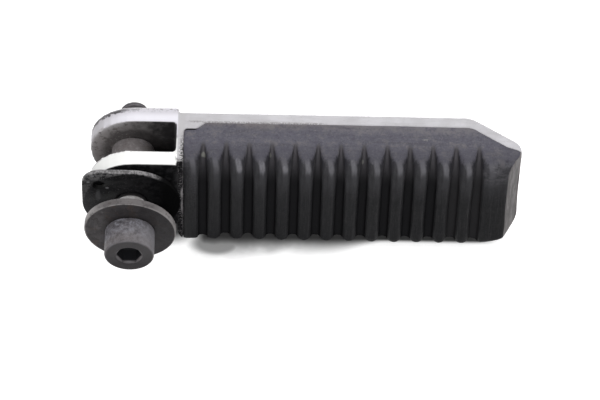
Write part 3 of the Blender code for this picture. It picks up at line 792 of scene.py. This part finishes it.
def plate_finish():
    """Black paint, scuffed along its upper edge and flecked at its hinge-side corner, with painted glints,
    painted shade that fades its right side and scuffs to black, and painted shade in its small hole.
    """
    f = Finish("black_paint_scuffed", Metallic=0.0)
    reach = f.bolt_distance()
    cloud = f.noise(2, 5, 0.7)
    fleck = f.noise(0.5, 3, 0.75)
    # Painted glints: small bright spots on the plate's face
    glints = f.most(
        f.spot((-10.0, PLATE_FRONT, 11.5), (0.5, 0.5, 0.5)),
        f.spot((-11.1, PLATE_FRONT, 8.8), (0.4, 0.5, 0.4)),
        f.spot((-6.2, PLATE_FRONT, 6.4), (0.45, 0.5, 0.35)),
        f.times(f.spot((-8.6, PLATE_FRONT, 3.0), (0.6, 0.5, 2.2)), 0.35),
    )
    rim = f.band(reach, 12.2, 12.6)
    corner = f.spot((-11, PLATE_FRONT, 10.5), (2.5, 1.0, 2.2))
    # Painted shade: the scuffs fade out, and the paint goes nearly black, towards the right
    fade = f.band(f.x, 8.6, 5.0)
    ragged = f.band(f.noise(1.1, 5, 0.75), 0.42, 0.54)
    scuff = f.times(f.most(rim, f.times(corner, 0.55)), fade, f.band(f.up, -0.15, 0.35), ragged)
    edge = f.times(rim, fade, f.band(f.up, 0.35, 0.8), 0.4)
    # Painted shade in the small hole
    hole_x, hole_z = PLATE_HOLE
    hole_reach = PLATE_HOLE_RADIUS + 0.25
    hole = f.spot((hole_x, PLATE_FRONT + 0.7, hole_z), (hole_reach, 3, hole_reach), 0.12)
    colour = f.layers(
        f.mix(f.band(cloud, 0.42, 0.62), (0.007, 0.007, 0.008), (0.020, 0.0195, 0.021)),
        (f.times(f.band(f.x, 4, -9), 0.5), (0.0125, 0.0125, 0.0135)),
        # Painted shade on the right side
        (f.band(f.x, 5, 10), (0.007, 0.007, 0.0072)),
        (f.times(f.band(fleck, 0.58, 0.66), f.band(f.x, 6, -4), 0.6), (0.13, 0.13, 0.135)),
        (f.times(glints, 0.8), (0.24, 0.24, 0.25)),
        (f.most(scuff, edge), (0.30, 0.292, 0.296)),
        (hole, (0.004, 0.004, 0.004)),
    )
    f.set("Base Color", colour)
    f.set("Specular IOR Level", f.band(f.x, -4, 7, 0.09, 0.0))
    f.set("Roughness", f.band(cloud, 0.3, 0.7, 0.36, 0.55))
    f.bump((f.noise(0.7, 4, 0.65), 0.06))
    return f.material


# Pieces

def dress(piece, body, node):
    """Lets a piece ride on its body in place of the CAD node."""
    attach(piece, body)
    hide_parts(node)
    return piece


def wider_lip(obj):
    """Moves the joint of metal and rubber at the tip's taper forward, where the photo shows a wider lip."""
    extra, reach = 1.05, 1.15
    points = points_of(obj.data)
    x, y = (points / MM).T[:2]
    joint = 2.55 - 0.67 * (x - 93.8)
    share = ramp(x, 88, 91) * ramp(x, 101.3, 98.3)
    points[:, 1] -= extra * MM * share * bell(y, joint, reach)
    return place(obj, points)


def dress_casting(material):
    casting = wider_lip(softened("casting", "peg_body", 0.4 * MM, 2))
    push(casting, 0.04 * MM + 0.06 * MM * field(points_of(casting.data), 260))
    return dress(shade(casting, material), "peg", "peg_body")


def dress_tread(material):
    """Tread with softened ribs, pressed against the casting so that no gap shows."""
    tread = wider_lip(softened("ribbed_tread", "rubber_tread", 0.37 * MM, 6))
    x, y, z = (points_of(tread.data) / MM).T
    ribs = ramp(y, 1, -2) * ramp(x, 15, 17) * ramp(x, 96, 94)
    relaxed(tread, ribs * np.maximum(ramp(z, 1, 7), ramp(z, -18, -21)), 14)

    # The lower tip corner is lifted, and the ribs' feet are rounded
    points = points_of(tread.data)
    x, y, z = (points / MM).T
    lift, bulge, round_off = 1.9, 0.3, 1.0
    tip = ramp(x, 88, 98)
    points[:, 2] += lift * MM * tip**2 * ramp(z, -13, -23)
    points[:, 0] += bulge * MM * tip * bell(z, -15, 5.5)
    off_rib = np.abs((x - FIRST_GROOVE) / RIB_PITCH % 1 - 0.5)
    foot = ramp(z, -17.5, -22.5) * ramp(y, 1, -2) * ramp(x, 92, 90)
    points[:, 2] += round_off * MM * foot * ramp(off_rib, 0, 0.28) ** 2 * ramp(x, 20, 22)
    place(tread, points)

    # Points that face the spine or the shoulder go a little into the metal
    normals = normals_of(tread.data)
    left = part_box("rubber_tread")[0][0]
    against_spine = np.clip((normals[:, 1] - 0.2) * 3, 0, 1)
    against_shoulder = np.clip((-normals[:, 0] - 0.7) * 5, 0, 1) * (points[:, 0] < left + 2 * MM)
    waves = 0.05 * MM * field(points, 180) + 0.08 * MM * field(points, 40, 2)
    press = 0.33 * MM
    push(tread, waves + press * (against_spine + against_shoulder))
    return dress(shade(tread, material), "peg", "rubber_tread")


def thread_rings(radius, tip, end, turns):
    """Rings of a cut thread from the bolt's tip back to its plain shank."""
    pitch = 1.25 * MM
    depth = 0.68 * MM
    rings_per_turn = 14
    steep, root_flat = 1.44, 0.12
    chamfer = 0.7
    root = radius - depth - 0.1 * MM
    rows = int((tip - end) / pitch * rings_per_turn)
    rings = [(0, tip), (root, tip)]
    for row in range(1, rows):
        y = tip - (tip - end) * row / rows
        phase = (y / pitch - turns / (2 * np.pi)) % 1.0
        height = np.clip(steep * (1 - np.abs(2 * phase - 1)) - root_flat, 0, 1)
        fade = min(1.0, (y - end) / pitch)
        cut = radius - depth * fade * (1 - height)
        rings.append((np.minimum(cut, root + chamfer * (tip - y)), y))
    return rings


def dress_bolt(material):
    """Socket head cap screw with a cut thread and a hexagon socket."""
    steps = 96
    turns = np.arange(steps) * 2 * np.pi / steps
    low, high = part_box("hinge_bolt")
    shank, head = SHANK_RADIUS * MM, HEAD_RADIUS * MM
    face, tip = low[1], high[1] + 0.35 * MM
    seat = HEAD_SEAT * MM
    thread_end = 1.0 * MM
    rings = thread_rings(shank, tip, thread_end, turns)
    rings += [(shank, thread_end), (shank, seat + 0.35 * MM), (shank + 0.1 * MM, seat + 0.1 * MM)]
    rings += [(shank + 0.35 * MM, seat), (head - 0.25 * MM, seat), (head - 0.07 * MM, seat - 0.07 * MM)]
    rings += [(head, seat - 0.25 * MM), (head, seat - 3.5 * MM)]
    edge = 0.6 * MM
    for step in range(9):
        turn = math.pi / 2 * step / 8
        rings.append((head - edge * (1 - math.cos(turn)), face + edge * (1 - math.sin(turn))))
    flat = 3.0 * MM
    mouth = 3.65 * MM
    hexagon = flat / np.cos((turns + math.pi / 6) % (math.pi / 3) - math.pi / 6)
    rings += [(5.2 * MM, face), (4.4 * MM, face), (mouth + 0.15 * MM, face), (mouth, face + 0.04 * MM)]
    rings += [(hexagon, face + mouth - hexagon), (hexagon, face + 2.4 * MM), (hexagon, face + 4.1 * MM)]
    rings += [(hexagon * 0.9, face + 4.2 * MM), (0, face + 5.3 * MM)]
    bolt = turned("cap_screw", rings, steps=steps)
    return dress(shade(bolt, material, 32), "bolt", "hinge_bolt")


def ring(name, outer, low, high):
    """Flat ring on the bolt with rounded edges."""
    inner = SHANK_HOLE * MM
    edge, bore_edge = 0.3 * MM, 0.12 * MM
    corners = [(inner, low, bore_edge), (outer, low, edge), (outer, high, edge), (inner, high, bore_edge)]
    return turned(name, rounded(corners, 4), closed=True)


def dress_washer(material):
    """Big washer, hanging a little askew on the shank."""
    low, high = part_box("big_washer")
    washer = ring("penny_washer", high[2], low[1], high[1])
    middle = Vector((0, (low[1] + high[1]) / 2, 0))
    lean = Matrix.Rotation(math.radians(-2.5), 4, "Z")
    washer.data.transform(Matrix.Translation(middle) @ lean @ Matrix.Translation(-middle))
    return dress(shade(washer, material, 40), "washer", "big_washer")


def dress_bush(material):
    """Bush, a hair longer than its solid so that it meets both ears."""
    low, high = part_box("fork_bush")
    extra = 0.2 * MM
    bush = ring("gap_bush", high[2], low[1] - extra, high[1] + extra)
    return dress(shade(bush, material, 40), "bush", "fork_bush")


def dress_plate(material):
    """Stop plate as a filled outline with rounded edges."""
    low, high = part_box("stop_plate")
    size = PLATE_RADIUS * MM
    corner = PLATE_CORNER * MM
    edge = 0.22 * MM
    round_corners = [(size, size, size), (size, -size, size), (-size, -size, size)]
    outer = rounded(round_corners + [(-size, size, corner)], 20)
    hole = [value * MM for value in PLATE_HOLE]
    curve = bpy.data.curves.new("stop_plate_outline", "CURVE")
    curve.dimensions = "2D"
    curve.fill_mode = "BOTH"
    curve.extrude = (high[1] - low[1]) / 2 - edge
    curve.bevel_depth = edge
    curve.bevel_resolution = 2
    curve.offset = -edge
    for outline in (outer, circle((0, 0), SHANK_HOLE * MM), circle(hole, PLATE_HOLE_RADIUS * MM)):
        spline = curve.splines.new("POLY")
        spline.points.add(len(outline) - 1)
        for point, (x, z) in zip(spline.points, outline):
            point.co = (x, z, 0, 1)
        spline.use_cyclic_u = True
    shape = new_object("stop_plate_outline", curve)
    bpy.context.view_layer.update()
    mesh = bpy.data.meshes.new_from_object(shape.evaluated_get(bpy.context.evaluated_depsgraph_get()))
    bpy.data.objects.remove(shape)
    work = bmesh.new()
    work.from_mesh(mesh)
    closed_mesh(work, mesh, 0.002 * MM)
    middle = Matrix.Translation((0, (low[1] + high[1]) / 2, 0))
    mesh.transform(middle @ Matrix.Rotation(math.radians(90), 4, "X"))
    plate = new_object("hinge_stop_plate", mesh)
    return dress(shade(plate, material, 35), "plate", "stop_plate")


# Camera, floor and light

def photo_camera():
    """Camera of the photo. The anchor is the bolt's axis at the washer's front face."""
    elevation, azimuth, roll = (math.radians(angle) for angle in (53.8847, 1.2688, 2.1100))
    focal, width, height = 4026.03, 600, 400
    distance = 1.05098
    anchor = Vector((0, WASHER_FRONT * MM, 0))
    anchor_px, anchor_py = 129.99, 231.25
    ahead = math.cos(elevation)
    forward = Vector((math.sin(azimuth) * ahead, math.cos(azimuth) * ahead, -math.sin(elevation)))
    level = forward.cross(Vector((0, 0, 1))).normalized()
    upright = level.cross(forward)
    right = level * math.cos(roll) + upright * math.sin(roll)
    above = upright * math.cos(roll) - level * math.sin(roll)
    across = (anchor_px - width / 2) / focal
    down = (anchor_py - height / 2) / focal
    centre = anchor - distance * (forward + across * right - down * above)
    data = bpy.data.cameras.new("photo_camera")
    data.sensor_width = 36.0
    data.lens = focal / width * data.sensor_width
    camera = new_object("photo_camera", data)
    turn = Matrix((right, above, -forward)).transposed().to_4x4()
    camera.matrix_world = Matrix.Translation(centre) @ turn
    bpy.context.scene.camera = camera


def seen_rays(tree):
    """1 for rays from the camera and for those reflected or let through."""
    path = tree.nodes.new("ShaderNodeLightPath")
    result = path.outputs["Is Camera Ray"]
    for name in ("Is Glossy Ray", "Is Transmission Ray"):
        node = tree.nodes.new("ShaderNodeMath")
        node.operation = "MAXIMUM"
        tree.links.new(result, node.inputs[0])
        tree.links.new(path.outputs[name], node.inputs[1])
        result = node.outputs[0]
    return result


def white_world():
    """World that looks white and lights the peg only faintly."""
    world = bpy.data.worlds.new("white_room")
    bpy.context.scene.world = world
    world.use_nodes = True
    tree = world.node_tree
    background = tree.nodes["Background"]
    mix = tree.nodes.new("ShaderNodeMix")
    mix.data_type = "RGBA"
    mix.inputs[MIX_FIRST].default_value = (0.15, 0.15, 0.155, 1)
    mix.inputs[MIX_SECOND].default_value = (1, 1, 1, 1)
    tree.links.new(seen_rays(tree), mix.inputs[MIX_SHARE])
    tree.links.new(mix.outputs[MIX_RESULT], background.inputs["Color"])


def floor_shadow(f, floor_z):
    """Where a shadow is painted on the floor: short before the ribs, under the shoulder and behind the spine.
    """
    contact = -5.4
    reach = f.plus(f.band(f.x, 24, 44, 9.6, 6.7), f.band(f.x, 51, 68, 0, -5.3))
    reach = f.plus(reach, f.times(f.minus(f.noise(5, 2, 0.5), 0.5), f.band(f.x, 30, 60, 7, 0)))
    depth = f.math("DIVIDE", f.minus(contact, f.y), reach)
    front = f.times(f.band(depth, 1, 0), f.between(f.x, 16.5, 95, 3.0), f.band(f.y, 6, 3))
    under_shoulder = f.spot((10.5, -1.5, floor_z), (6, 5.8, 5), 0.5)
    by_first_rib = f.times(f.spot((22.4, -8.0, floor_z), (6.8, 3.8, 5), 0.36), 0.80)
    rear = f.times(f.band(f.y, 14, 8.5), f.band(f.y, 3, 6), f.between(f.x, 17, 90, 3.5), 0.75)
    return f.most(front, under_shoulder, by_first_rib, rear)


def pale_floor():
    """Floor under the peg. It glows white to the camera, less so where the photo keeps its shadow."""
    height = CAD_BOX[0][2]
    mesh = bpy.data.meshes.new("floor")
    size = 3.0
    corners = [(-size, -size, height), (size, -size, height), (size, size, height), (-size, size, height)]
    mesh.from_pydata(corners, [], [(0, 1, 2, 3)])
    floor = new_object("floor", mesh)
    f = Finish("pale_floor")
    f.tree.nodes.remove(f.shader)
    plain = f.tree.nodes.new("ShaderNodeBsdfDiffuse")
    plain.inputs["Color"].default_value = (0.25, 0.25, 0.25, 1)
    bright = f.tree.nodes.new("ShaderNodeBsdfDiffuse")
    glow = f.tree.nodes.new("ShaderNodeEmission")
    full_glow = 0.66
    shadow = floor_shadow(f, height / MM)
    # Painted shadow: the glow and the bright colour drop where floor_shadow is 1
    f.link(f.minus(full_glow, f.times(shadow, full_glow)), glow.inputs["Strength"])
    f.link(f.mix(shadow, (0.9, 0.9, 0.9), (0.14, 0.14, 0.14)), bright.inputs["Color"])
    both = f.tree.nodes.new("ShaderNodeAddShader")
    f.link(bright.outputs[0], both.inputs[0])
    f.link(glow.outputs[0], both.inputs[1])
    choose = f.tree.nodes.new("ShaderNodeMixShader")
    f.link(seen_rays(f.tree), choose.inputs[0])
    f.link(plain.outputs[0], choose.inputs[1])
    f.link(both.outputs[0], choose.inputs[2])
    f.link(choose.outputs[0], f.tree.nodes["Material Output"].inputs["Surface"])
    mesh.materials.append(f.material)


def lamp(name, spot, size, power):
    """Oblong lamp, in watts, that faces the middle of the peg."""
    peg_middle = Vector((0.045, 0, -0.005))
    data = bpy.data.lights.new(name, "AREA")
    data.shape = "RECTANGLE"
    data.size, data.size_y = size
    data.energy = power
    obj = new_object(name, data)
    obj.location = spot
    obj.rotation_euler = (peg_middle - Vector(spot)).to_track_quat("-Z", "Y").to_euler()


def soft_light():
    lamp("overhead", (0.05, 0.22, 0.85), (0.8, 0.6), 4.15)
    lamp("front_top", (0.12, -0.62, 0.62), (0.22, 0.2), 2.0)
    lamp("right_side", (0.85, 0.02, 0.30), (0.4, 0.4), 1.7)
    lamp("left_side", (-0.80, -0.15, 0.40), (0.4, 0.4), 2.0)
    lamp("behind", (0.05, 0.90, 0.22), (0.6, 0.4), 2.2)


# The whole scene

dress_casting(casting_finish())
dress_tread(rubber_finish())
dress_bolt(bolt_finish())
dress_washer(washer_finish())
dress_bush(bush_finish())
dress_plate(plate_finish())
plated = plated_finish()
for hidden_piece in ("tread_strip", "tread_screw_1", "tread_screw_2"):
    shade(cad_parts[hidden_piece], plated, 35)

photo_camera()
white_world()
pale_floor()
soft_light()
bpy.context.scene.view_settings.view_transform = "Standard"
